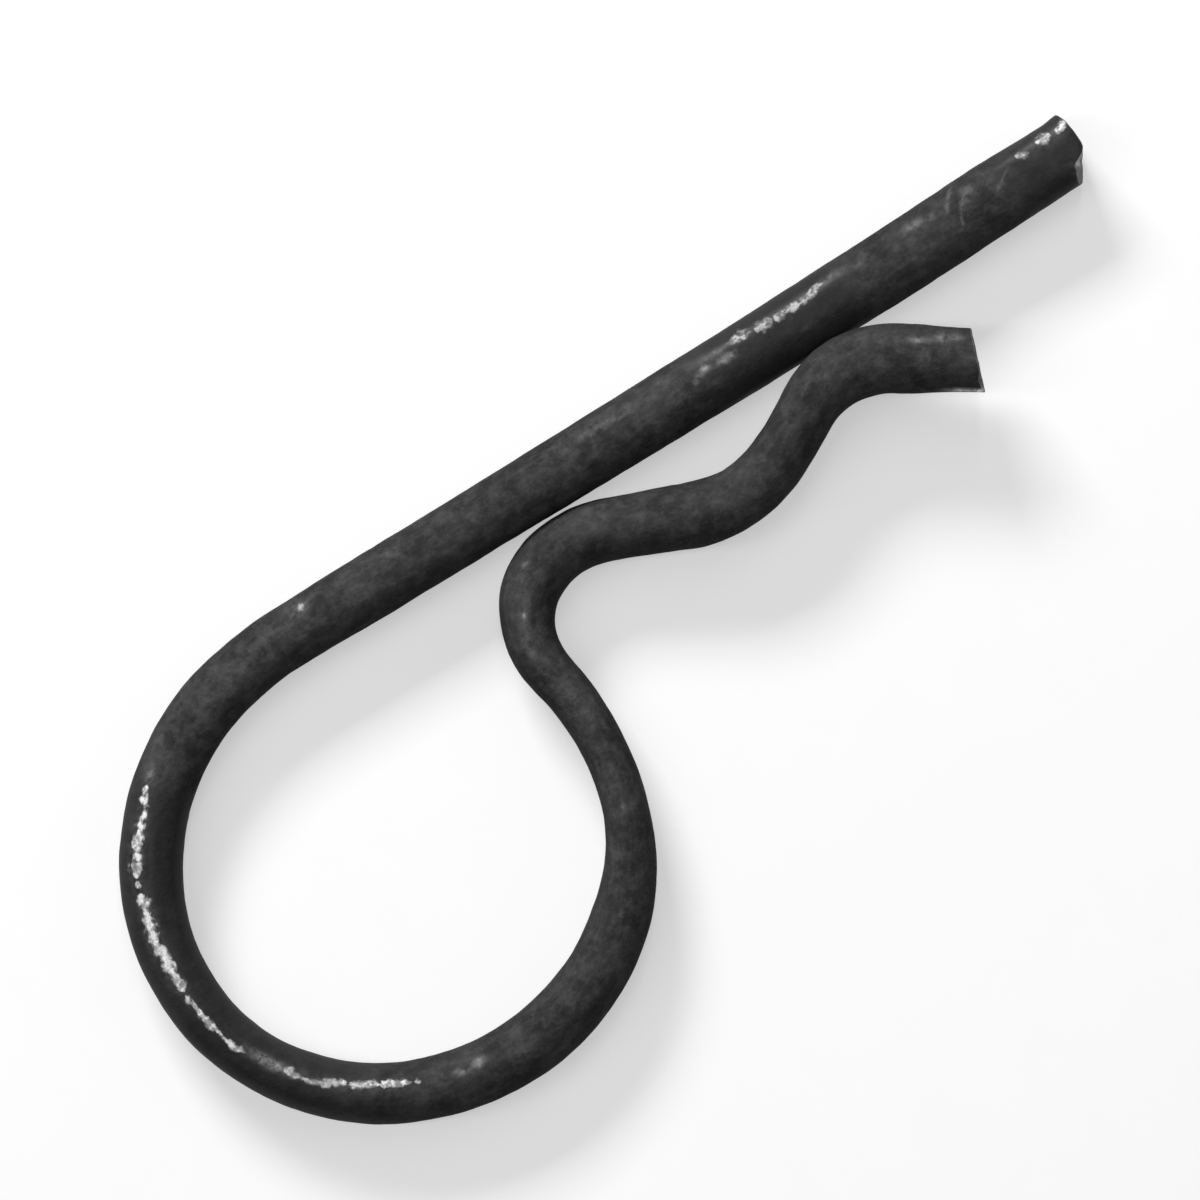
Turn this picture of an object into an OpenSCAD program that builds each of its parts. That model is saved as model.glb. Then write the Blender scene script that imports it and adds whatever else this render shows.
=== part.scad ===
// Hitch R clip: one length of round spring wire, bent into a straight leg, a finger loop
// and a wavy spring leg. It lies on its side, with the loop and the straight leg on z = 0.
// The origin is the loop's centre on that plane, and the straight leg runs towards +X.

/* [Wire] */
// Diameter of the round wire
wire_diameter = 4; // [2.5:0.1:6]

/* [Loop] */
// Inside diameter of the finger loop
loop_inside_diameter = 25.6; // [20:0.2:40]
// Inside radius of the easy bend between the straight leg and the loop
entry_inside_radius = 25; // [22:0.5:40]
// Turn of that easy bend, in degrees
entry_angle = 10; // [5:0.5:15]

/* [Straight leg] */
// Length of the straight leg along the wire, from the loop's easy bend to the cut end
leg_length = 58; // [54:0.2:90]
// Length of the free end, which enters the cross hole of a shaft
tip_length = 13.4; // [8:0.2:15]
// Radius of the easy bend between the straight leg and its free end
tip_bend_radius = 100; // [60:5:150]
// Slight turn of the free end away from the spring leg, in degrees
tip_angle = 1.8; // [1:0.1:5]
// Bevel that the cutter left on the free end, in degrees off a square cut
tip_bevel_angle = 33; // [5:1:45]
// Distance from the wire's axis at which that bevel starts
tip_bevel_offset = 0.5; // [0:0.1:1.2]

/* [Spring leg] */
// Inside radius of the neck, where the spring leg first comes near the straight leg
neck_inside_radius = 3.7; // [2.5:0.1:5.5]
// Gap between the neck and the straight leg, seen from above
neck_gap = 0.2; // [0.1:0.05:0.8]
// Inside radius of the bend in the neck that lifts the rest of the spring leg
lift_inside_radius = 4; // [2.5:0.1:6]
// Straight run from the neck down into the seat
seat_length = 4.6; // [3:0.1:8.5]
// Slope of that run away from the straight leg, in degrees
seat_angle = 23; // [16:0.5:30]
// Inside radius of the seat, which hugs the shaft
seat_inside_radius = 6.2; // [4:0.1:10]
// Slope of the ramp from the seat back up to the straight leg, in degrees
ramp_angle = 27.5; // [20:0.5:35]
// Inside radius of the hump, which snaps past the shaft
hump_inside_radius = 4.4; // [2.5:0.1:6]
// How far the hump reaches over the straight leg, seen from above
hump_overlap = 0.2; // [0:0.05:1]
// Clear space between the hump and the straight leg below it
hump_clearance = 0.15; // [0.1:0.05:0.6]
// Slope of the flared end away from the straight leg, in degrees
flare_angle = 34; // [20:0.5:45]
// Length of the flared end along its axis
flare_length = 5; // [3:0.1:10]
// Slant of the flared end's cut, in degrees off a square cut
flare_cut_angle = 15; // [0:1:30]

/* [Hidden] */
$fn = 96;
wire_r = wire_diameter / 2;

// Sides to which the wire can be bent, as angles about it
left = 0;
up = 90;
right = 180;

// Bend radii on the wire's axis
loop_r = loop_inside_diameter / 2 + wire_r;
entry_r = entry_inside_radius + wire_r;
neck_r = neck_inside_radius + wire_r;
lift_r = lift_inside_radius + wire_r;
seat_r = seat_inside_radius + wire_r;
hump_r = hump_inside_radius + wire_r;

// Distance of the straight leg's axis from the loop's centre
leg_y = entry_r - (entry_r - loop_r) * cos(entry_angle);

// Angles about the loop's centre at which the loop meets the easy bend and the neck
loop_start = 90 + entry_angle;
loop_end = asin((leg_y - 2 * wire_r - neck_r - neck_gap) / (loop_r + neck_r));
loop_turn = 360 - loop_start + loop_end;

// The neck's highest point lies nearest the straight leg. The rest of the spring leg is in a
// plane that rises from there towards +X, and its places are measured from there, in that plane.
neck_end = neck_r * [sin(seat_angle), cos(seat_angle) - 1];
seat_end = neck_end + seat_length * [cos(seat_angle), -sin(seat_angle)]
    + seat_r * [sin(seat_angle) + sin(ramp_angle), cos(seat_angle) - cos(ramp_angle)];
hump_top_y = neck_gap + hump_overlap;
ramp_length = (hump_top_y - hump_r * (1 - cos(ramp_angle)) - seat_end[1]) / sin(ramp_angle);
hump_top_x = seat_end[0] + ramp_length * cos(ramp_angle) + hump_r * sin(ramp_angle);

// Rise of the hump over the straight leg, and the slope of the plane that takes it there
hump_rise = sqrt(pow(2 * wire_r + hump_clearance, 2) - pow(2 * wire_r - hump_overlap, 2));
lift_angle = atan2(lift_r, hump_top_x) - asin((lift_r - hump_rise) / norm([hump_top_x, lift_r]));

// Straight run between the loop's easy bend and the turn at the free end
tip_arc = tip_bend_radius * tip_angle * PI / 180;
shank_length = leg_length - tip_arc - tip_length;

// Side of the blocks that cut the wire's ends
cut_block = 4 * wire_diameter;

// Each piece of wire stops short of both its ends. A bead that is a hair thicker than the
// wire joins it to the next piece there, so that no two surfaces coincide.
joint_gap = wire_diameter / 80;
bead_r = wire_r + wire_diameter / 200;

// Each module below starts at the origin, runs towards +X and puts its children at its end

// Bead at the end of a piece of wire
module bead() {
    rotate([0, 90, 0])
        sphere(r = bead_r);
    children();
}

// Straight wire
module straight(length) {
    translate([joint_gap, 0, 0])
        rotate([0, 90, 0])
            cylinder(r = wire_r, h = length - 2 * joint_gap);
    translate([length, 0, 0])
        bead()
            children();
}

// Wire bent to one side, given as an angle about the wire: left, up or right
module bend(radius, angle, side) {
    gap_angle = joint_gap / radius * 180 / PI;
    rotate([side, 0, 0])
        translate([0, radius, 0]) {
            rotate([0, 0, gap_angle - 90])
                rotate_extrude(angle = angle - 2 * gap_angle)
                    translate([radius, 0])
                        circle(r = wire_r);
            rotate([0, 0, angle])
                translate([0, -radius, 0])
                    rotate([-side, 0, 0])
                        bead()
                            children();
        }
}

// Takes away what lies past a slanting cut at a distance along the wire
module cut(distance, offset, slant) {
    difference() {
        children();
        translate([distance, offset, 0])
            rotate([0, 0, slant])
                translate([0, -cut_block / 2, -cut_block / 2])
                    cube(cut_block);
    }
}

// Straight leg, from the loop's easy bend to the free end
module straight_leg() {
    bend(entry_r, entry_angle, right)
        straight(shank_length)
            bend(tip_bend_radius, tip_angle, left)
                cut(tip_length, 0, 0)
                    cut(tip_length, -tip_bevel_offset, -tip_bevel_angle)
                        straight(tip_length + wire_diameter);
}

// Wavy leg, from the loop to the flared end
module spring_leg() {
    bend(neck_r, 90 + loop_end, right)
        bend(lift_r, lift_angle, up)
            bend(neck_r, seat_angle, right)
                straight(seat_length)
                    bend(seat_r, seat_angle + ramp_angle, left)
                        straight(ramp_length)
                            bend(hump_r, ramp_angle + flare_angle, right)
                                cut(flare_length, 0, flare_cut_angle)
                                    straight(flare_length + wire_diameter);
}

// The whole clip: the loop with a leg at each end
module r_clip() {
    color([0.2, 0.2, 0.2])
        translate([0, 0, bead_r])
            rotate([0, 0, loop_start])
                translate([loop_r, 0, 0]) {
                    rotate([0, 0, -90])
                        bead()
                            straight_leg();
                    rotate([0, 0, 90])
                        bend(loop_r, loop_turn, left)
                            spring_leg();
                }
}

r_clip();
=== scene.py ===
import math

import bpy
import numpy as np
from mathutils import Matrix, Vector, noise


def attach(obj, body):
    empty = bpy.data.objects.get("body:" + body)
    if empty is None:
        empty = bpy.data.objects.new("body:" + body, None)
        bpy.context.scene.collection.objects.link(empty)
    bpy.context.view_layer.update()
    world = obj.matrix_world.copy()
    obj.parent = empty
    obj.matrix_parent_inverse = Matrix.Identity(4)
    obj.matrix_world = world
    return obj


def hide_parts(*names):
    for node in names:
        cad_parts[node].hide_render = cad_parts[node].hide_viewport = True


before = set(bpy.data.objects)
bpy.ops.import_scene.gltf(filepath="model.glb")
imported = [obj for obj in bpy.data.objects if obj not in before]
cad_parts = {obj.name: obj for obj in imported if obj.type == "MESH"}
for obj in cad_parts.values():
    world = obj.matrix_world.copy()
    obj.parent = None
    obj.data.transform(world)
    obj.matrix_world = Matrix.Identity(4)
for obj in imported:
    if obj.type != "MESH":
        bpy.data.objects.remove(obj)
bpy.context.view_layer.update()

# Lengths of the wire are in millimetres, as in the solid, and become metres in the mesh.
# Turns, slopes and slanting cuts are in degrees.
MM = 0.001
WIRE_R = 2.0
AXIS_HEIGHT = 2.02
LOOP_R = 14.8
ENTRY_R, ENTRY_TURN = 27.0, 10.0
LEG_LENGTH = 58.0
TIP_BEND_R, TIP_TURN, TIP_LENGTH = 100.0, 1.8, 13.4
TIP_BEVEL, TIP_BEVEL_START = 33.0, 0.5
NECK_R, NECK_GAP, LIFT_R = 5.7, 0.2, 6.0
SEAT_LENGTH, SEAT_SLOPE, SEAT_R = 4.6, 23.0, 8.2
RAMP_SLOPE, HUMP_R = 27.5, 6.4
HUMP_OVERLAP, HUMP_CLEARANCE = 0.2, 0.15
FLARE_SLOPE, FLARE_LENGTH, FLARE_CUT = 34.0, 5.0, 15.0

# How finely the path, the half widths and the mesh are divided. A cut face has rings of its own,
# and so has its rounded rim, of which the first few still show bare steel.
PATH_STEP = 0.05
WIDTH_START, WIDTH_END, WIDTH_STEP, WIDTH_SAMPLES = -6, 190, 0.1, 27
RING_STEP = 0.16
SIDES = 80
CUT_RINGS, RIM_RINGS, BARE_RIM_RINGS = 14, 5, 3

# Half widths of the wire seen from above, as drawing and bending left it: distance from
# the straight tip, towards the left of the way from there to the flare, towards the right.
HALF_WIDTHS = [
    (0, 2.14, 2.28), (2.5, 2.15, 2.29), (6, 2.14, 2.43), (11, 2.13, 2.41), (15, 2.13, 2.41),
    (17.5, 2.12, 2.38), (20, 2.12, 2.31), (24, 2.15, 2.24), (29, 2.14, 2.19), (33, 2.13, 2.12),
    (37, 2.11, 2.09), (42, 2.09, 2.08), (48, 2.07, 2.06), (54, 2.03, 2.06), (57, 1.96, 2.02),
    (60, 1.98, 1.97), (62, 2.05, 1.93), (66, 2.18, 1.88), (70, 2.17, 1.84), (73, 2.13, 1.90),
    (76, 2.02, 1.98), (79, 1.86, 2.02), (82, 1.69, 2.05), (85, 1.63, 2.08), (87, 1.55, 2.10),
    (90, 1.57, 2.00), (93, 1.76, 1.94), (97, 1.92, 1.87), (102, 2.15, 1.77), (106, 2.18, 1.82),
    (109, 2.13, 1.94), (112, 2.03, 2.00), (115, 1.82, 2.11), (118, 1.66, 2.16), (120, 1.42, 2.12),
    (122, 1.17, 2.03), (124.5, 1.05, 1.89), (128, 1.05, 1.79), (131, 1.03, 1.90),
    (134, 0.92, 2.15), (136, 1.18, 2.04), (138, 1.48, 1.89), (140, 1.88, 1.87), (142, 1.97, 1.92),
    (144, 1.95, 1.92), (146, 1.90, 2.06), (148, 1.93, 2.01), (151, 2.11, 2.00),
    (152.5, 2.11, 2.09), (155, 1.83, 2.07), (158, 1.67, 2.15), (160, 1.50, 2.18),
    (162, 1.62, 2.08), (165, 1.98, 2.22), (167, 2.02, 2.32), (170, 2.05, 2.31), (172, 1.99, 2.10),
    (174, 1.94, 2.02), (176, 1.94, 2.02),
]
# Share of the difference between the two half widths by which the wire's crest moves over.
CREST_SHIFT = 0.35

# The cutter spread the straight tip to the right and flattened its sides: by how much, and how
# far along the wire it shows.
TIP_SPREAD, TIP_SPREAD_LENGTH = 0.09, 0.7
TIP_FLATNESS, TIP_FLAT_FULL, TIP_FLAT_END = 0.7, 1.0, 9.0
# Straight tip's cut: a notch, with its depth, place across and half width, the face's bulge and
# how far that stands forward, and the lean of the bevel's upper part.
NOTCH_DEPTH, NOTCH_PLACE, NOTCH_WIDTH = 0.09, 0.97, 0.15
TIP_BULGE, TIP_FORWARD, TIP_LEAN = 0.07, 0.05, 0.32
# Flared end's cut: the spare length of path that its slant uses up, the lean of its upper part
# and what the right edge adds to that.
FLARE_SPARE = 0.75
FLARE_LEAN, FLARE_EDGE_LEAN = 0.03, 0.12
# Rounding of the cuts' rims, the distances from the path's ends at which the wire's plain rings
# start and stop, and the lengths over which those rings take up the slope of the cuts.
RIM_R = 0.08
BODY_START, BODY_STOP = 0.3, 0.25
TIP_BLEND, FLARE_BLEND = 5.0, 4.0
# Bare steel on the cut faces all over, with a painted highlight added where each face catches the
# light.
TIP_STEEL, TIP_GLINT, FLARE_STEEL, FLARE_GLINT = 0.18, 0.36, 0.16, 0.4
GLINT_PLACE, GLINT_WIDTH = 0.92, 0.30
# Burr along the flare's right side: bare steel, and where along the wire it starts and is full.
BURR_STEEL, BURR_START, BURR_FULL = 0.8, 171.2, 173.6

# Unevenness of the skin and of the torn cuts, as waves of noise: scale, offset and height.
SWELLS = [(0.32, 3.1, 0.030), (0.9, 11.4, 0.020)]
TEARS = [(1.7, 57.9, 0.04), (4.5, 63.3, 0.015)]
# Lumps, which are higher in the worn stripes, and dents: scale and offset, then their heights.
LUMPS, LUMP_HEIGHT, LUMP_WORN = (1.7, 23.7), 0.010, 0.016
DENTS, DENT_START, DENT_DEPTH = (1.2, 41.2), 0.40, 0.05
# Skin below this height lies on the floor, so it keeps a share of what stands out and no dents.
LOW_SKIN, LOW_SHARE = 0.6, 0.3

# Stripes where the black skin is worn through to steel, made pale as painted highlights: how bright
# the steel and its painted highlight are, then a run of places, each with its distance from the
# straight tip, its place across the wire as a share of the half width, and the stripe's half width
# there.
WORN_STRIPES_AND_HIGHLIGHTS = [
    (0.92, [
        (70.7, -0.47, 0.02), (71.1, -0.45, 0.09), (71.6, -0.44, 0.14), (72.0, -0.35, 0.14),
        (72.2, -0.30, 0.05), (72.4, -0.29, 0.11), (72.8, -0.34, 0.09), (73.2, -0.36, 0.15),
        (73.6, -0.36, 0.11), (74.4, -0.38, 0.18), (74.8, -0.38, 0.07), (75.1, -0.38, 0.17),
        (76.1, -0.38, 0.20), (76.4, -0.37, 0.03), (76.8, -0.36, 0.09), (77.2, -0.33, 0.03),
        (77.8, -0.24, 0.20), (78.4, -0.24, 0.11), (79.4, -0.18, 0.20), (80.1, -0.16, 0.19),
        (80.5, -0.16, 0.10), (81.1, -0.09, 0.22), (82.1, -0.04, 0.22), (82.5, -0.05, 0.12),
        (83.5, 0.03, 0.17), (83.9, -0.01, 0.03), (84.4, -0.06, 0.09), (85.3, 0.00, 0.08),
        (86.6, 0.03, 0.16), (87.1, 0.06, 0.05), (88.4, 0.00, 0.14), (89.2, 0.11, 0.05),
        (90.0, 0.18, 0.02),
    ]),
    (0.56, [
        (91.3, 0.26, 0.02), (91.7, 0.26, 0.05), (92.2, 0.21, 0.16), (93.2, 0.14, 0.06),
        (94.2, 0.17, 0.11), (95.0, 0.26, 0.16), (95.7, 0.33, 0.12), (96.0, 0.32, 0.04),
        (96.3, 0.33, 0.12), (97.8, 0.38, 0.12), (98.0, 0.38, 0.04), (98.3, 0.38, 0.12),
        (99.3, 0.38, 0.13), (100.3, 0.36, 0.05), (100.6, 0.36, 0.10), (101.0, 0.33, 0.02),
    ]),
    (0.26, [
        (17.9, -0.58, 0.02), (18.5, -0.58, 0.08), (19.4, -0.49, 0.12), (20.3, -0.46, 0.12),
        (21.9, -0.44, 0.12), (22.1, -0.48, 0.03), (22.3, -0.49, 0.13), (22.8, -0.47, 0.18),
        (23.3, -0.47, 0.15), (23.5, -0.51, 0.03), (23.7, -0.54, 0.12), (24.1, -0.57, 0.17),
        (24.6, -0.58, 0.13), (24.9, -0.56, 0.08), (25.7, -0.57, 0.03),
    ]),
    (0.32, [
        (2.9, -0.54, 0.02), (3.1, -0.55, 0.08), (3.5, -0.58, 0.10), (3.8, -0.62, 0.08),
        (4.1, -0.63, 0.02),
    ]),
    (0.36, [
        (1.2, -0.64, 0.02), (1.4, -0.65, 0.10), (1.8, -0.63, 0.17), (2.2, -0.66, 0.12),
        (2.5, -0.66, 0.02),
    ]),
    (0.50, [
        (-0.3, -0.76, 0.08), (0.1, -0.73, 0.11), (0.4, -0.66, 0.13), (0.9, -0.59, 0.09),
        (1.1, -0.58, 0.02),
    ]),
    (0.26, [(56.1, -0.60, 0.02), (56.5, -0.57, 0.10), (57.0, -0.52, 0.02)]),
]
# A stripe fades out where its half width falls between these.
STRIPE_GONE, STRIPE_FULL = 0.02, 0.08

# Soft pale patches, partly real scuffs and partly painted glints and sheen: distance from the
# straight tip, place across as above, half length, half width and strength.
SCUFFS_AND_GLINTS = [
    (0.9, 0.60, 0.5, 0.26, 0.35), (1.6, -0.55, 1.8, 0.22, 0.15), (5.7, -0.20, 0.4, 0.08, 0.18),
    (7.5, -0.56, 0.4, 0.12, 0.40), (7.9, -0.36, 0.4, 0.20, 0.22), (9.4, 0.22, 0.6, 0.07, 0.12),
    (10.3, -0.50, 0.5, 0.10, 0.22), (11.2, 0.18, 1.1, 0.07, 0.12), (11.5, -0.56, 0.9, 0.11, 0.36),
    (15.7, -0.51, 0.4, 0.10, 0.18), (17.6, -0.60, 0.8, 0.10, 0.36), (20.5, 0.22, 0.5, 0.08, 0.15),
    (25.8, -0.24, 0.55, 0.10, 1.30), (26.9, -0.46, 0.3, 0.08, 0.30),
    (26.3, -0.54, 1.0, 0.08, 0.36), (27.3, -0.32, 0.40, 0.09, 1.10),
    (27.8, -0.24, 0.30, 0.07, 0.70), (28.2, -0.12, 0.2, 0.06, 0.60),
    (29.5, -0.18, 0.3, 0.10, 0.18), (33.4, -0.43, 0.7, 0.10, 0.28), (35.2, -0.48, 1.2, 0.14, 0.28),
    (37.3, -0.51, 0.5, 0.16, 0.20), (49.8, -0.53, 0.6, 0.16, 0.16), (56.8, -0.56, 0.9, 0.20, 0.32),
    (58.6, -0.38, 0.5, 0.12, 0.22), (62.0, 0.05, 7.0, 0.60, 0.08), (70.2, -0.48, 0.5, 0.12, 0.60),
    (74.0, -0.38, 3.0, 0.24, 0.22), (79.5, -0.20, 2.2, 0.28, 0.22), (82.2, -0.04, 2.2, 0.26, 0.22),
    (90.8, 0.21, 1.3, 0.15, 1.20), (95.5, 0.27, 3.5, 0.18, 0.20), (103.6, 0.30, 0.8, 0.10, 0.60),
    (104.8, 0.38, 0.4, 0.13, 1.20), (118.4, 0.05, 0.3, 0.08, 0.34), (125.0, 0.06, 0.3, 0.10, 0.42),
    (132.0, -0.05, 4.5, 0.55, 0.08), (136.6, 0.12, 4.0, 0.20, 0.18), (137.2, 0.13, 0.5, 0.09, 0.20),
    (138.5, 0.08, 0.6, 0.20, 0.25), (138.6, 0.08, 0.2, 0.07, 1.80), (141.4, 0.55, 0.2, 0.08, 0.40),
    (170.3, 0.51, 0.5, 0.09, 0.66), (170.2, 0.51, 1.2, 0.09, 0.22),
    (171.8, 0.60, 0.35, 0.12, 0.60), (172.5, 0.64, 0.5, 0.10, 0.52),
]
# Light scratches across the top: run along the wire per millimetre across it, distance from the
# straight tip where they cross the middle, places across where they start and end, sharpness
# and strength.
SCRATCHES = [
    (1.09, 10.16, -1.7, -0.7, 3.8, 1.0),
    (1.02, 8.75, -1.4, 0.5, 4.0, 1.0),
    (1.65, 6.2, -0.8, -0.1, 4.0, 0.7),
    (0.1, 170.6, -0.3, 0.6, 10.0, 0.5),
    (0.1, 170.95, -0.4, 0.5, 10.0, 0.5),
]
# Softness of a scratch's two ends.
SCRATCH_FADE = 0.2
# Lengths that handling has rubbed smoother and darker: from, full from, full to, to, how much.
RUBBED_LENGTHS = [
    (69.5, 72.0, 92.0, 104.0, 1.0),
    (15.5, 18.0, 25.0, 29.0, 1.0),
    (-2.0, -1.0, 3.0, 7.0, 0.9),
]

# Greys of the finish
BLACK_SKIN, DUSTY_SKIN, RUBBED_SKIN = 0.023, 0.088, 0.020
DARK_GRIT, PALE_GRIT = 0.012, 0.10
SCUFF_AND_GLINT_GREY, SCRATCH_GREY, CUT_GREY = 0.30, 0.13, 0.80
# How far rubbing, grit and scratches change the skin, and how metallic the worn flecks are, which
# are also painted highlights
RUB_SHARE, DARK_GRIT_SHARE, PALE_GRIT_SHARE, SCRATCH_SHARE = 0.76, 0.3, 0.2, 0.7
FLECK_METAL = 0.5
# Roughness of the dull skin and of bare steel, and the skin's faint shine, more where it is rubbed
SKIN_ROUGH, STEEL_ROUGH = 0.8, 0.27
SKIN_SHINE, RUBBED_COAT, COAT_ROUGH = 0.06, 0.15, 0.35
# Fine relief of the finish: strength, and depth in metres
BUMP_STRENGTH, BUMP_DEPTH = 0.6, 0.00008
# White paper of the floor: its two greys, and the glow that keeps it white in the picture
PAPER_GREYS, PAPER_GLOW = (0.60, 0.62), 0.46

# The view, as in the photo: its middle, its roll about the camera's line and its width
VIEW_CENTRE = (19.75 * MM, 6.81 * MM)
VIEW_ROLL = math.radians(-31.46)
VIEW_WIDTH = 75 * MM
CAMERA_HEIGHT = 0.40
SENSOR_WIDTH = 36
FLOOR_HALF = 1.5

# Soft boxes: name, bearing from the picture's right towards its top, lean off the camera's line,
# distance, size and power.
LAMPS = [
    ("key_upper_left", 118, 62, 0.60, (0.26, 0.12), 3.75),
    ("left_strip", 181, 31, 0.60, (0.07, 0.48), 0.66),
    ("top_strip", 86, 31, 0.60, (0.07, 0.34), 0.40),
    ("overhead", 45, 1, 0.70, (0.12, 0.12), 0.28),
    ("right_fill", 5, 62, 0.70, (0.40, 0.40), 0.30),
]
WORLD_STRENGTH = 0.09


# The wire's path

def bent(place, heading, left, run):
    """Points and headings of wire that follows a run of straights and bends from a place."""
    up = np.cross(heading, left)
    points, headings = [place], [heading]
    for piece in run:
        if piece[0] == "straight":
            steps = max(2, round(piece[1] / PATH_STEP))
            for k in range(1, steps + 1):
                points.append(place + heading * piece[1] * k / steps)
                headings.append(heading)
        else:
            side, radius, turn = piece
            towards = {"left": left, "right": -left, "up": up}[side]
            angle = math.radians(turn)
            centre, before = place + radius * towards, heading
            steps = max(2, round(radius * angle / PATH_STEP))
            for k in range(1, steps + 1):
                a = angle * k / steps
                points.append(centre + radius * (before * math.sin(a) - towards * math.cos(a)))
                headings.append(before * math.cos(a) + towards * math.sin(a))
            heading = headings[-1]
            turned = towards * math.cos(angle) - before * math.sin(angle)
            if side == "up":
                up = turned
            else:
                left = turned if side == "left" else -turned
        place = points[-1]
    return np.array(points), np.array(headings)


def sine(degrees):
    return math.sin(math.radians(degrees))


def cosine(degrees):
    return math.cos(math.radians(degrees))


def clip_path():
    """The wire's centre line from the straight tip to the flared end, with its headings."""
    # The sums are those of the solid: places on the spring leg count from the neck's top.
    leg_y = ENTRY_R - (ENTRY_R - LOOP_R) * cosine(ENTRY_TURN)
    neck_y = leg_y - 2 * WIRE_R - NECK_R - NECK_GAP
    loop_end = math.degrees(math.asin(neck_y / (LOOP_R + NECK_R)))
    seat_end_x = NECK_R * sine(SEAT_SLOPE) + SEAT_LENGTH * cosine(SEAT_SLOPE)
    seat_end_x += SEAT_R * (sine(SEAT_SLOPE) + sine(RAMP_SLOPE))
    seat_end_y = NECK_R * (cosine(SEAT_SLOPE) - 1) - SEAT_LENGTH * sine(SEAT_SLOPE)
    seat_end_y += SEAT_R * (cosine(SEAT_SLOPE) - cosine(RAMP_SLOPE))
    hump_y = NECK_GAP + HUMP_OVERLAP
    ramp = (hump_y - HUMP_R * (1 - cosine(RAMP_SLOPE)) - seat_end_y) / sine(RAMP_SLOPE)
    hump_x = seat_end_x + ramp * cosine(RAMP_SLOPE) + HUMP_R * sine(RAMP_SLOPE)
    rise = math.sqrt((2 * WIRE_R + HUMP_CLEARANCE) ** 2 - (2 * WIRE_R - HUMP_OVERLAP) ** 2)
    slope = math.asin((LIFT_R - rise) / math.hypot(hump_x, LIFT_R))
    lift = math.degrees(math.atan2(LIFT_R, hump_x) - slope)
    shank = LEG_LENGTH - math.radians(TIP_TURN) * TIP_BEND_R - TIP_LENGTH

    start = 90 + ENTRY_TURN
    place = np.array([LOOP_R * cosine(start), LOOP_R * sine(start), AXIS_HEIGHT])
    heading = np.array([-sine(start), cosine(start), 0])
    inwards = np.array([-cosine(start), -sine(start), 0])
    onward, onward_headings = bent(place, heading, inwards, [
        ("left", LOOP_R, 360 - start + loop_end),
        ("right", NECK_R, 90 + loop_end),
        ("up", LIFT_R, lift),
        ("right", NECK_R, SEAT_SLOPE),
        ("straight", SEAT_LENGTH),
        ("left", SEAT_R, SEAT_SLOPE + RAMP_SLOPE),
        ("straight", ramp),
        ("right", HUMP_R, RAMP_SLOPE + FLARE_SLOPE),
        ("straight", FLARE_LENGTH + FLARE_SPARE),
    ])
    back, back_headings = bent(place, -heading, -inwards, [
        ("right", ENTRY_R, ENTRY_TURN),
        ("straight", shank),
        ("left", TIP_BEND_R, TIP_TURN),
        ("straight", TIP_LENGTH),
    ])
    points = np.vstack([back[::-1], onward[1:]])
    return points, np.vstack([-back_headings[::-1], onward_headings[1:]])


class Centreline:
    """The path by distance from the straight tip, with the directions across the wire."""

    def __init__(self):
        self.points, self.headings = clip_path()
        steps = np.linalg.norm(np.diff(self.points, axis=0), axis=1)
        self.distance = np.concatenate([[0], np.cumsum(steps)])
        self.length = self.distance[-1]

    def between(self, distance, values):
        columns = [np.interp(distance, self.distance, values[:, k]) for k in range(3)]
        return np.stack(columns, -1)

    def at(self, distance):
        """Place, left and up at distances along the wire, which runs on straight past its ends."""
        place = self.between(distance, self.points)
        heading = self.between(distance, self.headings)
        beyond = np.clip(distance, None, 0) + np.clip(distance - self.length, 0, None)
        place = place + heading * beyond[..., None]
        heading = heading / np.linalg.norm(heading, axis=-1, keepdims=True)
        left = np.cross([0.0, 0.0, 1.0], heading)
        left = left / np.linalg.norm(left, axis=-1, keepdims=True)
        return place, left, np.cross(heading, left)


line = Centreline()
# Angles of a ring's sides about the wire, counted from its left over its top
around = np.linspace(-math.pi / 2, 1.5 * math.pi, SIDES, endpoint=False)


def half_widths(distance):
    """Smoothed half widths to the left and to the right at a distance along the wire."""
    table = np.array(HALF_WIDTHS)
    margin = WIDTH_SAMPLES // 2
    fine = np.arange(WIDTH_START, WIDTH_END, WIDTH_STEP)
    window = np.hanning(WIDTH_SAMPLES)
    window = window / window.sum()
    sides = []
    for column in (1, 2):
        raw = np.interp(fine, table[:, 0], table[:, column])
        padded = np.pad(raw, margin, mode="edge")
        sides.append(np.interp(distance, fine, np.convolve(padded, window, mode="valid")))
    return sides


def smooth(low, high, x):
    """0 below low, 1 above high and smooth between them."""
    t = np.clip((x - low) / (high - low), 0, 1)
    return t * t * (3 - 2 * t)


def field(places, scale, offset):
    """Fixed noise from -1 to 1 at places in millimetres."""
    move = Vector((offset, 0.7 * offset, -offset))
    values = [noise.noise(Vector(p) * scale + move) for p in places.reshape(-1, 3)]
    return np.array(values).reshape(places.shape[:-1])


def relief(places, waves):
    """Waves of noise added up, each with its scale, offset and height."""
    return sum(height * field(places, scale, offset) for scale, offset, height in waves)


# The wire's marks

def rubbed_length(distance):
    """How much handling has rubbed the skin, from 0 to 1."""
    out = np.zeros(distance.shape)
    for start, full, fade, end, much in RUBBED_LENGTHS:
        here = much * smooth(start, full, distance) * (1 - smooth(fade, end, distance))
        out = np.maximum(out, here)
    return out


def share_across(distance, across):
    """Place across the wire as a share of its half width."""
    left, right = half_widths(distance)
    return (across - (left - right) / 2) / ((left + right) / 2)


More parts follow.
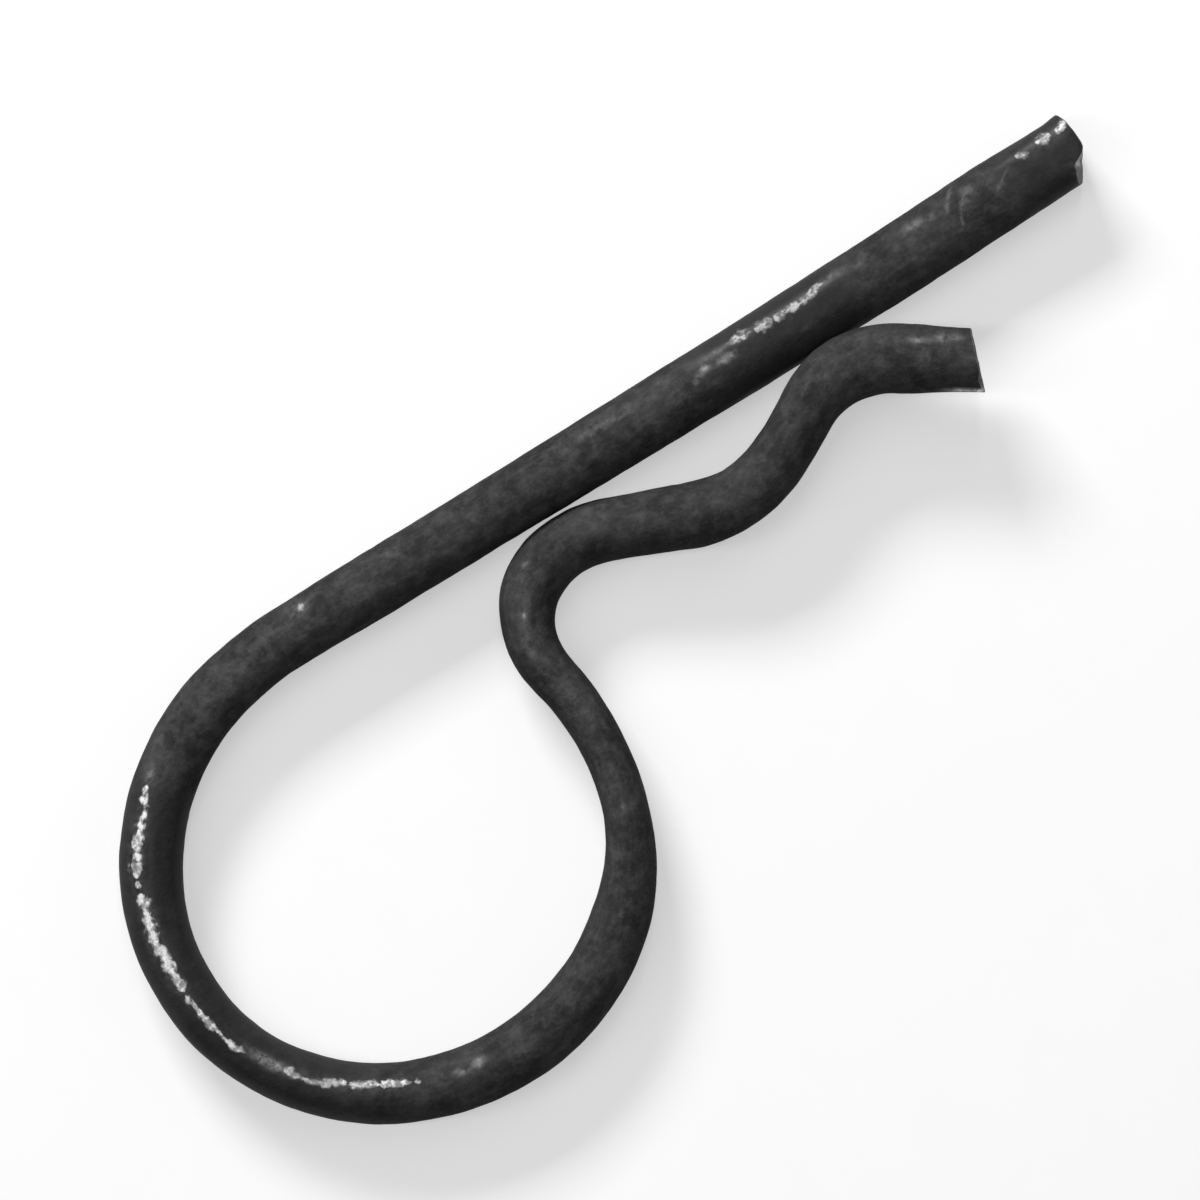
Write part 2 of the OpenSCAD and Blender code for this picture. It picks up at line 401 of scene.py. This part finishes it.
def worn_and_highlight_stripe(distance, across):
    """How worn the skin is, and how bright the steel and its painted highlight are there.

    It is 1 along the middle of a worn stripe and 0.5 at its edge, and falls to 0 away from it.
    """
    share = share_across(distance, across)
    worn_and_highlight, steel_and_highlight = np.zeros(distance.shape), np.zeros(distance.shape)
    for bright, stripe in WORN_STRIPES_AND_HIGHLIGHTS:
        along, middle, half = np.array(stripe).T
        width = np.interp(distance, along, half)
        near = (share - np.interp(distance, along, middle)) / width
        inside = (distance > along[0]) & (distance < along[-1])
        here = np.where(inside, 0.5 ** (near ** 2) * smooth(STRIPE_GONE, STRIPE_FULL, width), 0)
        steel_and_highlight = np.where(here > worn_and_highlight, bright, steel_and_highlight)
        worn_and_highlight = np.maximum(worn_and_highlight, here)
    return worn_and_highlight, steel_and_highlight


def scuff_and_glint(distance, across):
    """How strongly the soft scuffs and painted glints show."""
    share = share_across(distance, across)
    out = np.zeros(distance.shape)
    for along, middle, length, width, much in SCUFFS_AND_GLINTS:
        away = ((distance - along) / length) ** 2 + ((share - middle) / width) ** 2
        out = np.maximum(out, much * np.exp(-away))
    return out


def bare_metal_and_glint(distance, across, up, on_cut):
    """How much bare steel shows, on the cut faces with painted glints where they catch the light,
    and along the flare's burr.
    """
    notch = np.exp(-((across - GLINT_PLACE) / GLINT_WIDTH) ** 2) * smooth(-0.1, 1.0, up)
    edge = smooth(1.5, 1.9, -across) * smooth(-0.4, 0.4, up)
    near_tip = distance < line.length / 2
    faces = np.where(near_tip, TIP_STEEL + TIP_GLINT * notch, FLARE_STEEL + FLARE_GLINT * edge)
    on_right = smooth(0.86, 0.97, -np.cos(around)) * smooth(-0.15, 0.3, np.sin(around))
    burr = BURR_STEEL * smooth(BURR_START, BURR_FULL, distance) * on_right
    return np.where(on_cut > 0, faces, burr)


# The wire's mesh

def section(distance):
    """Offsets of the skin from the axis, to the left and up, at each side of each ring."""
    left, right = half_widths(distance)
    right = right + TIP_SPREAD * np.exp(-(distance / TIP_SPREAD_LENGTH) ** 2)
    shift = CREST_SHIFT * (left - right)
    flatness = TIP_FLATNESS * (1 - smooth(TIP_FLAT_FULL, TIP_FLAT_END, distance))
    power = 2 / (2 + flatness)[:, None]
    cos = np.sign(np.cos(around)) * np.abs(np.cos(around)) ** power
    sin = np.sign(np.sin(around)) * np.abs(np.sin(around)) ** power
    reach = np.where(cos > 0, (left - shift)[:, None], (right + shift)[:, None])
    return cos * reach + shift[:, None], sin * WIRE_R


def rim(distance):
    """The same for one ring."""
    across, up = section(np.full(1, distance))
    return across[0], up[0]


def tip_cut(across, up):
    """How far the straight tip's cut stands back from the leg's full length."""
    bevel = np.clip(across - TIP_BEVEL_START, 0, None) * math.tan(math.radians(TIP_BEVEL))
    notch = NOTCH_DEPTH * np.exp(-((across - NOTCH_PLACE) / NOTCH_WIDTH) ** 2)
    notch = notch * smooth(-1.2, 0.2, up)
    bulge = TIP_BULGE * np.clip(across + 0.5, None, 0.9) ** 2 - TIP_FORWARD
    lean = TIP_LEAN * np.clip(up + 0.2, 0, None) * smooth(0.2, 1.0, across)
    return bevel + notch + bulge + lean


def flare_cut(across, up):
    """How far the flared end's cut stands back from the path's spare length."""
    lean = FLARE_LEAN + FLARE_EDGE_LEAN * smooth(0.7, 1.5, -across)
    slant = across * math.tan(math.radians(FLARE_CUT))
    return FLARE_SPARE + slant + lean * np.clip(up, 0, None)


def end_rings(cut, base, inward):
    """Rings of a cut end from its middle to its rounded rim: distance, across and up."""
    across, up = rim(base)
    size = np.hypot(across, up)
    rings = []
    for k in range(1, CUT_RINGS + 1):
        share = k / CUT_RINGS * (1 - RIM_R / size)
        rings.append((base + inward * cut(across * share, up * share), across * share, up * share))
    for k in range(1, RIM_RINGS + 1):
        a = math.pi / 2 * k / RIM_RINGS
        share = 1 - RIM_R / size * (1 - math.sin(a))
        stand = cut(across * share, up * share) + RIM_R * (1 - math.cos(a))
        rings.append((base + inward * stand, across * share, up * share))
    return rings


def wire_rings():
    """All the rings, from the middle of the straight tip's cut to the middle of the flare's."""
    body = np.arange(BODY_START, line.length - BODY_STOP, RING_STEP)
    across, up = section(body)
    distance = np.repeat(body[:, None], SIDES, 1)
    tip_share = np.clip(1 - distance / TIP_BLEND, 0, 1)
    distance = distance + tip_share * (tip_cut(*rim(0.0)) + RIM_R)
    flare_share = np.clip(1 - (line.length - distance) / FLARE_BLEND, 0, 1)
    distance = distance - flare_share * (flare_cut(*rim(line.length)) + RIM_R)
    rings = end_rings(tip_cut, 0.0, 1) + list(zip(distance, across, up))
    rings = rings + end_rings(flare_cut, line.length, -1)[::-1]
    return [np.array(values) for values in zip(*rings)]


def wire_faces(count):
    """Quads between a number of rings, and a fan of triangles to the middle of each end."""
    faces = []
    hub, last = count * SIDES, (count - 1) * SIDES
    for r in range(count - 1):
        for k in range(SIDES):
            n = (k + 1) % SIDES
            faces.append((r * SIDES + k, r * SIDES + n, (r + 1) * SIDES + n, (r + 1) * SIDES + k))
    for k in range(SIDES):
        n = (k + 1) % SIDES
        faces.append((hub, n, k))
        faces.append((hub + 1, last + k, last + n))
    return faces


def store(mesh, name, values):
    """Keeps a value per vertex on the mesh; the two middle vertices take their ends' values."""
    is_vector = values.ndim == 3
    flat = values.reshape(-1, values.shape[-1]) if is_vector else values.reshape(-1)
    flat = np.concatenate([flat, flat[:1], flat[-1:]]).astype(np.float32)
    attribute = mesh.attributes.new(name, "FLOAT_VECTOR" if is_vector else "FLOAT", "POINT")
    attribute.data.foreach_set("vector" if is_vector else "value", flat.ravel())


def clip_mesh():
    """The whole wire, with its marks and painted highlights kept on the mesh for the finish to
    read.
    """
    distance, across, up = wire_rings()
    on_cut = np.zeros(distance.shape)
    on_cut[:CUT_RINGS + BARE_RIM_RINGS] = 1
    on_cut[-CUT_RINGS - BARE_RIM_RINGS:] = 1
    on_top = (np.sin(around) > 0) * (1 - on_cut)
    # The worn stripes are also painted highlights: pale steel set where the highlights fall.
    worn_and_highlight, steel_and_highlight = worn_and_highlight_stripe(distance, across)
    worn_and_highlight = worn_and_highlight * on_top

    place, left, over = line.at(distance)
    skin = place + left * across[..., None] + over * up[..., None]
    out = left * across[..., None] + over * up[..., None]
    out = out / np.linalg.norm(out, axis=-1, keepdims=True)
    lumps = field(skin, *LUMPS) * (LUMP_HEIGHT + LUMP_WORN * worn_and_highlight)
    dents = DENT_DEPTH * np.clip(field(skin, *DENTS) - DENT_START, 0, None)
    uneven = relief(skin, SWELLS) + lumps - dents
    uneven = np.where(skin[..., 2] < LOW_SKIN, np.clip(uneven, 0, None) * LOW_SHARE, uneven)
    torn = relief(skin, TEARS)
    heading = np.cross(left, over)
    skin = skin + out * (uneven * (1 - on_cut))[..., None] + heading * (torn * on_cut)[..., None]

    middles = np.array([skin[0].mean(0), skin[-1].mean(0)])
    verts = np.vstack([skin.reshape(-1, 3), middles]) * MM
    mesh = bpy.data.meshes.new("r_clip_wire")
    mesh.from_pydata(verts.tolist(), [], wire_faces(len(distance)))
    mesh.polygons.foreach_set("use_smooth", [True] * len(mesh.polygons))
    drawn = np.broadcast_arrays(distance, WIRE_R * np.cos(around), WIRE_R * np.sin(around))
    store(mesh, "drawn", np.stack(drawn, -1))
    store(mesh, "bare_steel_and_glint", bare_metal_and_glint(distance, across, up, on_cut))
    store(mesh, "rubbed", rubbed_length(distance))
    store(mesh, "worn_and_highlight", worn_and_highlight)
    store(mesh, "steel_and_highlight", steel_and_highlight)
    store(mesh, "scuffed_and_glinting", scuff_and_glint(distance, across) * on_top)
    mesh.update()
    return mesh


# Shader maths

class Link:
    """A socket in a material, with arithmetic that adds Math nodes."""

    def __init__(self, paint, socket):
        self.paint, self.socket = paint, socket

    def maths(self, operation, *others):
        return self.paint.node("ShaderNodeMath", {"operation": operation}, [self, *others])

    def __add__(self, other):
        return self.maths("ADD", other)

    def __sub__(self, other):
        return self.maths("SUBTRACT", other)

    def __mul__(self, other):
        return self.maths("MULTIPLY", other)

    def __rsub__(self, other):
        return self.paint.node("ShaderNodeMath", {"operation": "SUBTRACT"}, [other, self])

    __radd__ = __add__
    __rmul__ = __mul__

    def clamp(self):
        """Kept between 0 and 1."""
        settings = {"operation": "ADD", "use_clamp": True}
        return self.paint.node("ShaderNodeMath", settings, [self, 0.0])

    def size(self):
        """Without its sign."""
        return self.maths("ABSOLUTE")

    def span(self, low, high):
        """0 below low, 1 above high and smooth between them."""
        sockets = {"Value": self, "From Min": low, "From Max": high}
        return self.paint.node("ShaderNodeMapRange", {"interpolation_type": "SMOOTHSTEP"}, sockets)


class Paint:
    """A material's nodes."""

    def __init__(self, name):
        self.material = bpy.data.materials.new(name)
        self.material.use_nodes = True
        self.tree = self.material.node_tree
        self.tree.nodes.clear()

    def node(self, kind, settings=None, sockets=None, output=0):
        """A node with its settings, and its sockets linked or set by place or by name."""
        node = self.tree.nodes.new(kind)
        for key, value in (settings or {}).items():
            setattr(node, key, value)
        by_place = isinstance(sockets, (list, tuple))
        for key, value in enumerate(sockets) if by_place else (sockets or {}).items():
            if isinstance(value, Link):
                self.tree.links.new(value.socket, node.inputs[key])
            else:
                node.inputs[key].default_value = value
        return Link(self, node.outputs[output])

    def mix(self, factor, a, b):
        """Colour between a and b."""
        # The numbers are those of the Mix node's colour sockets.
        sockets = {0: factor, 6: a, 7: b}
        return self.node("ShaderNodeMix", {"data_type": "RGBA"}, sockets, output=2)

    def stored(self, name, output="Fac"):
        """A value that is kept on the mesh."""
        return self.node("ShaderNodeAttribute", {"attribute_name": name}, output=output)

    def noise(self, place, scale, detail, roughness=0.5, stretch=None):
        """Noise at a place, which may be stretched first."""
        if stretch:
            place = self.node("ShaderNodeVectorMath", {"operation": "MULTIPLY"}, [place, stretch])
        sockets = {"Vector": place, "Scale": scale, "Detail": detail, "Roughness": roughness}
        return self.node("ShaderNodeTexNoise", {}, sockets)

    def finish(self, shader):
        out = self.tree.nodes.new("ShaderNodeOutputMaterial")
        self.tree.links.new(shader.socket, out.inputs["Surface"])
        return self.material


def grey(value):
    """A grey with a trace of blue."""
    return (value, value, value * 1.01, 1.0)


def spring_wire_finish():
    """Dull black skin on spring steel: dusty, worn to the metal in places, bare at the cuts, with
    painted highlights and glints.
    """
    p = Paint("spring_wire_black")
    place = p.node("ShaderNodeTexCoord", output="Object")
    drawn = p.stored("drawn", "Vector")
    worn_and_highlight, steel_and_highlight, scuffed_and_glinting = p.stored("worn_and_highlight"), p.stored("steel_and_highlight"), p.stored("scuffed_and_glinting")
    rubbed, bare_steel_and_glint = p.stored("rubbed"), p.stored("bare_steel_and_glint")
    along, across, height_up = (
        p.node("ShaderNodeSeparateXYZ", {}, [drawn], output=k) for k in range(3)
    )
    top = height_up.span(-0.2, 0.4)

    clouds = p.noise(place, 330.0, 3.0, 0.55)
    mottle = p.noise(place, 1250.0, 4.0, 0.6)
    flecks = p.noise(place, 2400.0, 2.0, 0.6)
    grit = p.noise(place, 4600.0, 3.0, 0.6)
    shear = p.noise(place, 3000.0, 3.0, 0.6, stretch=(1.0, 1.0, 0.12))
    streaks = p.noise(drawn, 1.6, 4.0, 0.6, stretch=(0.35, 1.3, 1.3))
    rub = p.noise(drawn, 3.2, 2.0, 0.6, stretch=(0.65, 1.0, 1.0))
    beads = p.noise(drawn, 1.9, 1.0, stretch=(1.0, 0.3, 0.3))

    # Dusty skin, paler on top and darker on the flanks and underside as painted light and shade,
    # rubbed darker by handling, with dark and pale grit
    rubbed = (rubbed + (clouds - 0.5) * 0.8 * rubbed).clamp()
    dust_and_top_light = clouds.span(0.35, 0.70) * 0.35 + mottle.span(0.40, 0.72) * 0.40
    # Painted light and shade: the dust is full on top and only 0.6 as strong on the flanks and
    # underside.
    dust_and_top_light = (dust_and_top_light + streaks.span(0.40, 0.75) * 0.25) * (0.6 + height_up.span(0.8, 1.6) * 0.4)
    skin = p.mix(dust_and_top_light, grey(BLACK_SKIN), grey(DUSTY_SKIN))
    skin = p.mix(rubbed * RUB_SHARE, skin, grey(RUBBED_SKIN))
    skin = p.mix(grit.span(0.57, 0.70) * DARK_GRIT_SHARE, skin, grey(DARK_GRIT))
    pale_grit = (1.0 - grit.span(0.30, 0.44)) * (1.0 - rubbed) * PALE_GRIT_SHARE
    skin = p.mix(pale_grit, skin, grey(PALE_GRIT))

    # Scuffs with painted glints and sheen, and scratches
    scuffs_and_glints = scuffed_and_glinting * (mottle.span(0.3, 0.6) * 0.5 + flecks.span(0.4, 0.6) * 0.5)
    skin = p.mix(scuffs_and_glints.clamp(), skin, grey(SCUFF_AND_GLINT_GREY))
    waver = (mottle - 0.5) * 0.9 + (clouds - 0.5) * 1.6
    scratches = 0.0
    for run, middle, start, end, sharpness, strength in SCRATCHES:
        stroke = 1.0 - (along - (across * run + middle) + waver).size() * sharpness
        started = across.span(start - SCRATCH_FADE, start + SCRATCH_FADE)
        ended = across.span(end - SCRATCH_FADE, end + SCRATCH_FADE)
        scratches = scratches + stroke.clamp() * started * (1.0 - ended) * top * strength
    scratches = (scratches * flecks.span(0.3, 0.6)).clamp() * SCRATCH_SHARE
    skin = p.mix(scratches, skin, grey(SCRATCH_GREY))

    # Steel that shows in flecks along the worn stripes, pale as painted highlights, and on the cuts
    bared_and_highlight = (worn_and_highlight + (rub - 0.5) * 1.7 + (beads - 0.5) * 1.2).span(0.30, 1.0)
    bared_and_highlight = bared_and_highlight * worn_and_highlight.span(0.10, 0.50) * (0.4 + flecks.span(0.38, 0.58) * 0.6)
    colour = p.mix(bared_and_highlight, skin, p.mix(steel_and_highlight, grey(0.0), grey(1.0)))
    cut = bare_steel_and_glint * (mottle.span(0.2, 0.55) * 0.6 + shear.span(0.3, 0.65) * 0.7)
    cut = cut.clamp()
    colour = p.mix(cut, colour, grey(CUT_GREY))
    metal = (bared_and_highlight * FLECK_METAL + cut * cut).clamp()

    dull = SKIN_ROUGH + (grit - 0.5) * 0.2
    rough = dull + metal * (STEEL_ROUGH - dull)
    height = (grit - 0.5) * 0.5 + (flecks - 0.5) * 0.9 + (mottle - 0.5) * 0.6
    height = height + (shear - 0.5) * bare_steel_and_glint.span(0.0, 0.15) * 1.5
    bump = {"Strength": BUMP_STRENGTH, "Distance": BUMP_DEPTH, "Height": height}
    shader = p.node("ShaderNodeBsdfPrincipled", {}, {
        "Base Color": colour,
        "Roughness": rough.clamp(),
        "Metallic": metal,
        "Specular IOR Level": SKIN_SHINE,
        "Coat Weight": rubbed * RUBBED_COAT,
        "Coat Roughness": COAT_ROUGH,
        "Normal": p.node("ShaderNodeBump", {}, bump),
    })
    return p.finish(shader)


def floor_finish():
    """Plain white paper that stays white around the shadow."""
    p = Paint("floor_paper")
    fibre = p.node("ShaderNodeTexNoise", {}, {"Scale": 900.0, "Detail": 2.0})
    paper = p.mix(fibre, *map(grey, PAPER_GREYS))
    sockets = {"Base Color": paper, "Roughness": 0.9, "Specular IOR Level": 0.0}
    plain = p.node("ShaderNodeBsdfPrincipled", {}, sockets)
    glow = {"Emission Color": (1.0, 1.0, 1.0, 1.0), "Emission Strength": PAPER_GLOW}
    white = p.node("ShaderNodeBsdfPrincipled", {}, {**sockets, **glow})
    rays = ("Is Camera Ray", "Is Glossy Ray", "Is Transmission Ray")
    camera_ray, glossy_ray, through_ray = (p.node("ShaderNodeLightPath", output=r) for r in rays)
    seen = (camera_ray + glossy_ray + through_ray).clamp()
    return p.finish(p.node("ShaderNodeMixShader", {}, [seen, plain, white]))


# The clip

clip = bpy.data.objects.new("r_clip_wire", clip_mesh())
bpy.context.scene.collection.objects.link(clip)
clip.data.materials.append(spring_wire_finish())
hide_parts("r_clip")
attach(clip, "root")

# Floor, camera and light

floor_signs = ((-1, -1), (1, -1), (1, 1), (-1, 1))
floor_corners = [(FLOOR_HALF * x, FLOOR_HALF * y, 0) for x, y in floor_signs]
floor_mesh = bpy.data.meshes.new("floor")
floor_mesh.from_pydata(floor_corners, [], [(0, 1, 2, 3)])
floor = bpy.data.objects.new("floor", floor_mesh)
bpy.context.scene.collection.objects.link(floor)
floor_mesh.materials.append(floor_finish())

camera_data = bpy.data.cameras.new("camera")
camera_data.sensor_width = SENSOR_WIDTH
camera_data.lens = SENSOR_WIDTH * (CAMERA_HEIGHT - AXIS_HEIGHT * MM) / VIEW_WIDTH
camera_data.clip_start = 0.01
camera = bpy.data.objects.new("camera", camera_data)
camera.location = (*VIEW_CENTRE, CAMERA_HEIGHT)
camera.rotation_euler = (0, 0, VIEW_ROLL)
bpy.context.scene.collection.objects.link(camera)
bpy.context.scene.camera = camera


def lamp(name, bearing, lean, distance, size, power):
    """A soft box that faces the middle of the view."""
    turn = math.radians(bearing) + VIEW_ROLL
    flat = Vector((math.cos(turn), math.sin(turn), 0))
    towards = flat * sine(lean) + Vector((0, 0, cosine(lean)))
    sideways = Vector((-math.sin(turn), math.cos(turn), 0))
    data = bpy.data.lights.new(name, "AREA")
    data.shape = "RECTANGLE"
    data.size, data.size_y = size
    data.energy = power
    light = bpy.data.objects.new(name, data)
    light.location = Vector((*VIEW_CENTRE, 0)) + towards * distance
    axes = Matrix((sideways, towards.cross(sideways), towards))
    light.rotation_euler = axes.transposed().to_euler()
    bpy.context.scene.collection.objects.link(light)


for setup in LAMPS:
    lamp(*setup)

world = bpy.data.worlds.new("studio")
world.use_nodes = True
background = world.node_tree.nodes["Background"]
background.inputs["Color"].default_value = (1, 1, 1, 1)
background.inputs["Strength"].default_value = WORLD_STRENGTH
bpy.context.scene.world = world
bpy.context.scene.view_settings.view_transform = "Standard"
